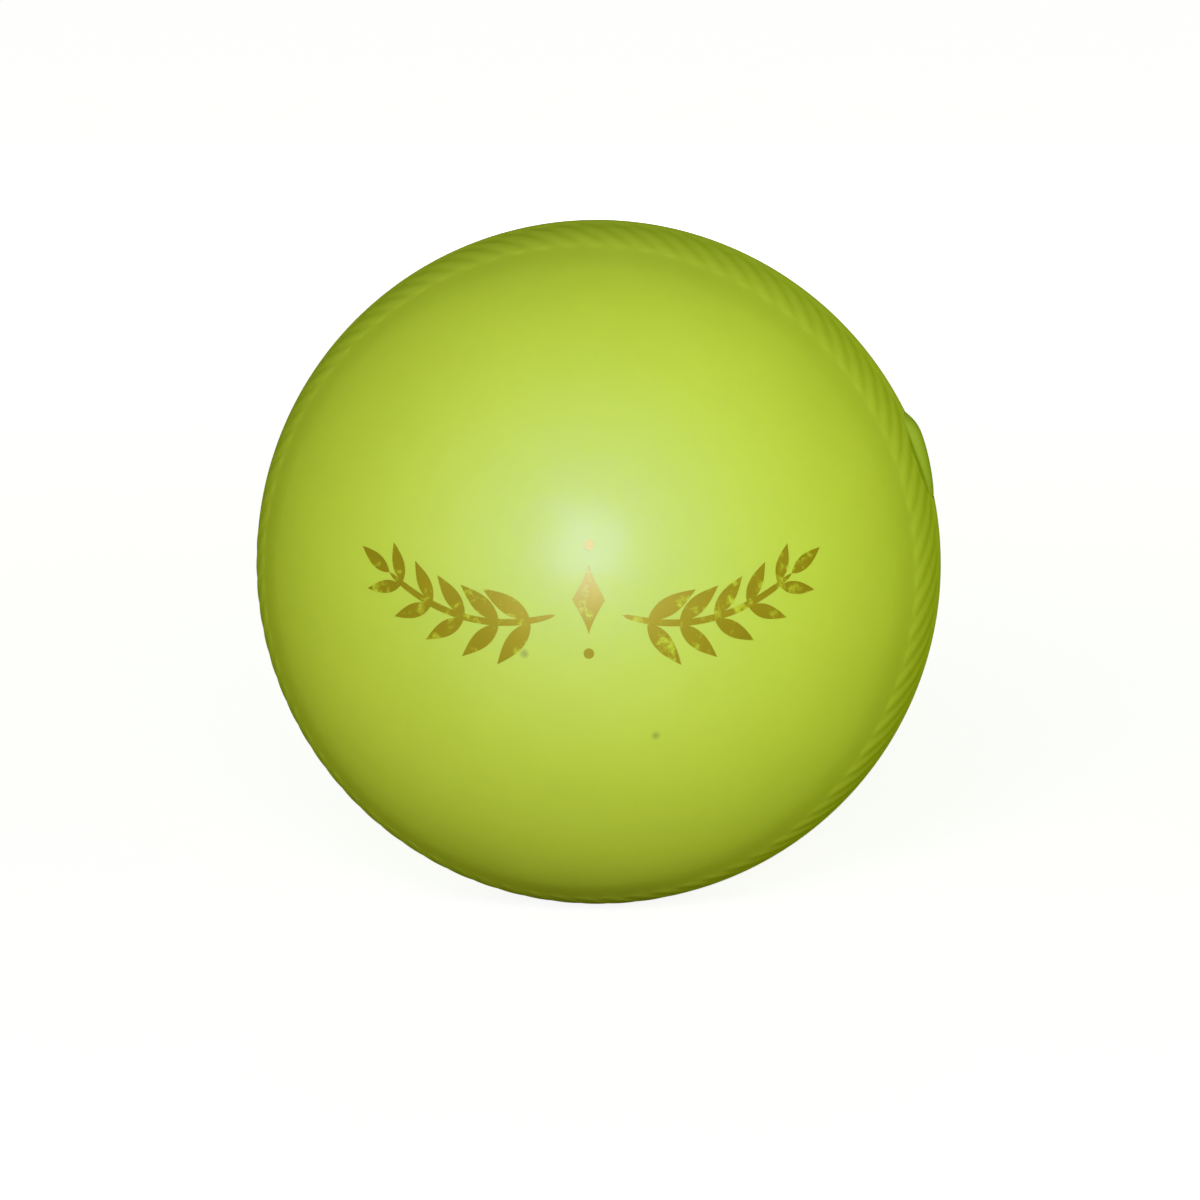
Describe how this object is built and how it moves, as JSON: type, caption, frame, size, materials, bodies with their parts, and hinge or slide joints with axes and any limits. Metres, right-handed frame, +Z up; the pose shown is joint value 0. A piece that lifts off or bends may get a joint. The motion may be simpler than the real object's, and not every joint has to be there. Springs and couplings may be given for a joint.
{
  "type": "plastic cricket ball",
  "caption": "Hollow moulded plastic ball with a low stitched seam band round its middle and a small air plug set in the seam, for bat-and-ball play.",
  "frame": {"origin": "centre of the ball", "axes": "+Z up in the plane of the seam, +X to the right in the plane of the seam, +Y along the seam's axis towards the rear cheek"},
  "size_m": [0.0724, 0.072, 0.0724],
  "materials": {
    "shell_plastic": "soft gloss, lime yellow moulded through",
    "band_plastic": "soft gloss, lime yellow moulded through",
    "cement": "clear amber, set",
    "plug_plastic": "soft gloss, lime yellow moulded through",
    "gold_foil": "thin stamped foil, rubbed away in places"
  },
  "bodies": {
    "root": {"front_shell": "shell_plastic", "rear_shell": "shell_plastic", "seam_band": "band_plastic", "joint_cement": "cement", "air_plug": "plug_plastic"}
  },
  "joints": []
}
